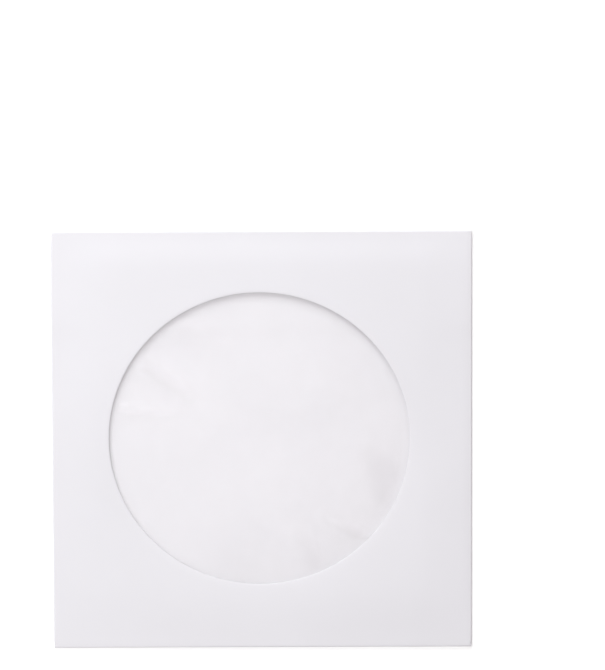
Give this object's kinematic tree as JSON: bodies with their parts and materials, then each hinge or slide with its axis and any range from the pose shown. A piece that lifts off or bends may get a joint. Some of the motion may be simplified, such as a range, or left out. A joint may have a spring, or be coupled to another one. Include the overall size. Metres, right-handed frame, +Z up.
{
  "type": "cd sleeve",
  "caption": "Square white paper disc sleeve with a round clear-film window in its front, a pocket folded from one sheet and a closing flap folded behind.",
  "frame": {"origin": "middle of the sleeve's outline, on the surface that its back lies on", "axes": "+X to the right seen from the window side, +Y to the top fold with the closing flap, +Z up out of the window"},
  "size_m": [0.1238, 0.127, 0.0015],
  "materials": {
    "paper": "uncoated bright white wove, matt",
    "film": "clear glossy film with soft creases"
  },
  "bodies": {
    "root": {"paper_sleeve": "paper", "window_film": "film"}
  },
  "joints": []
}
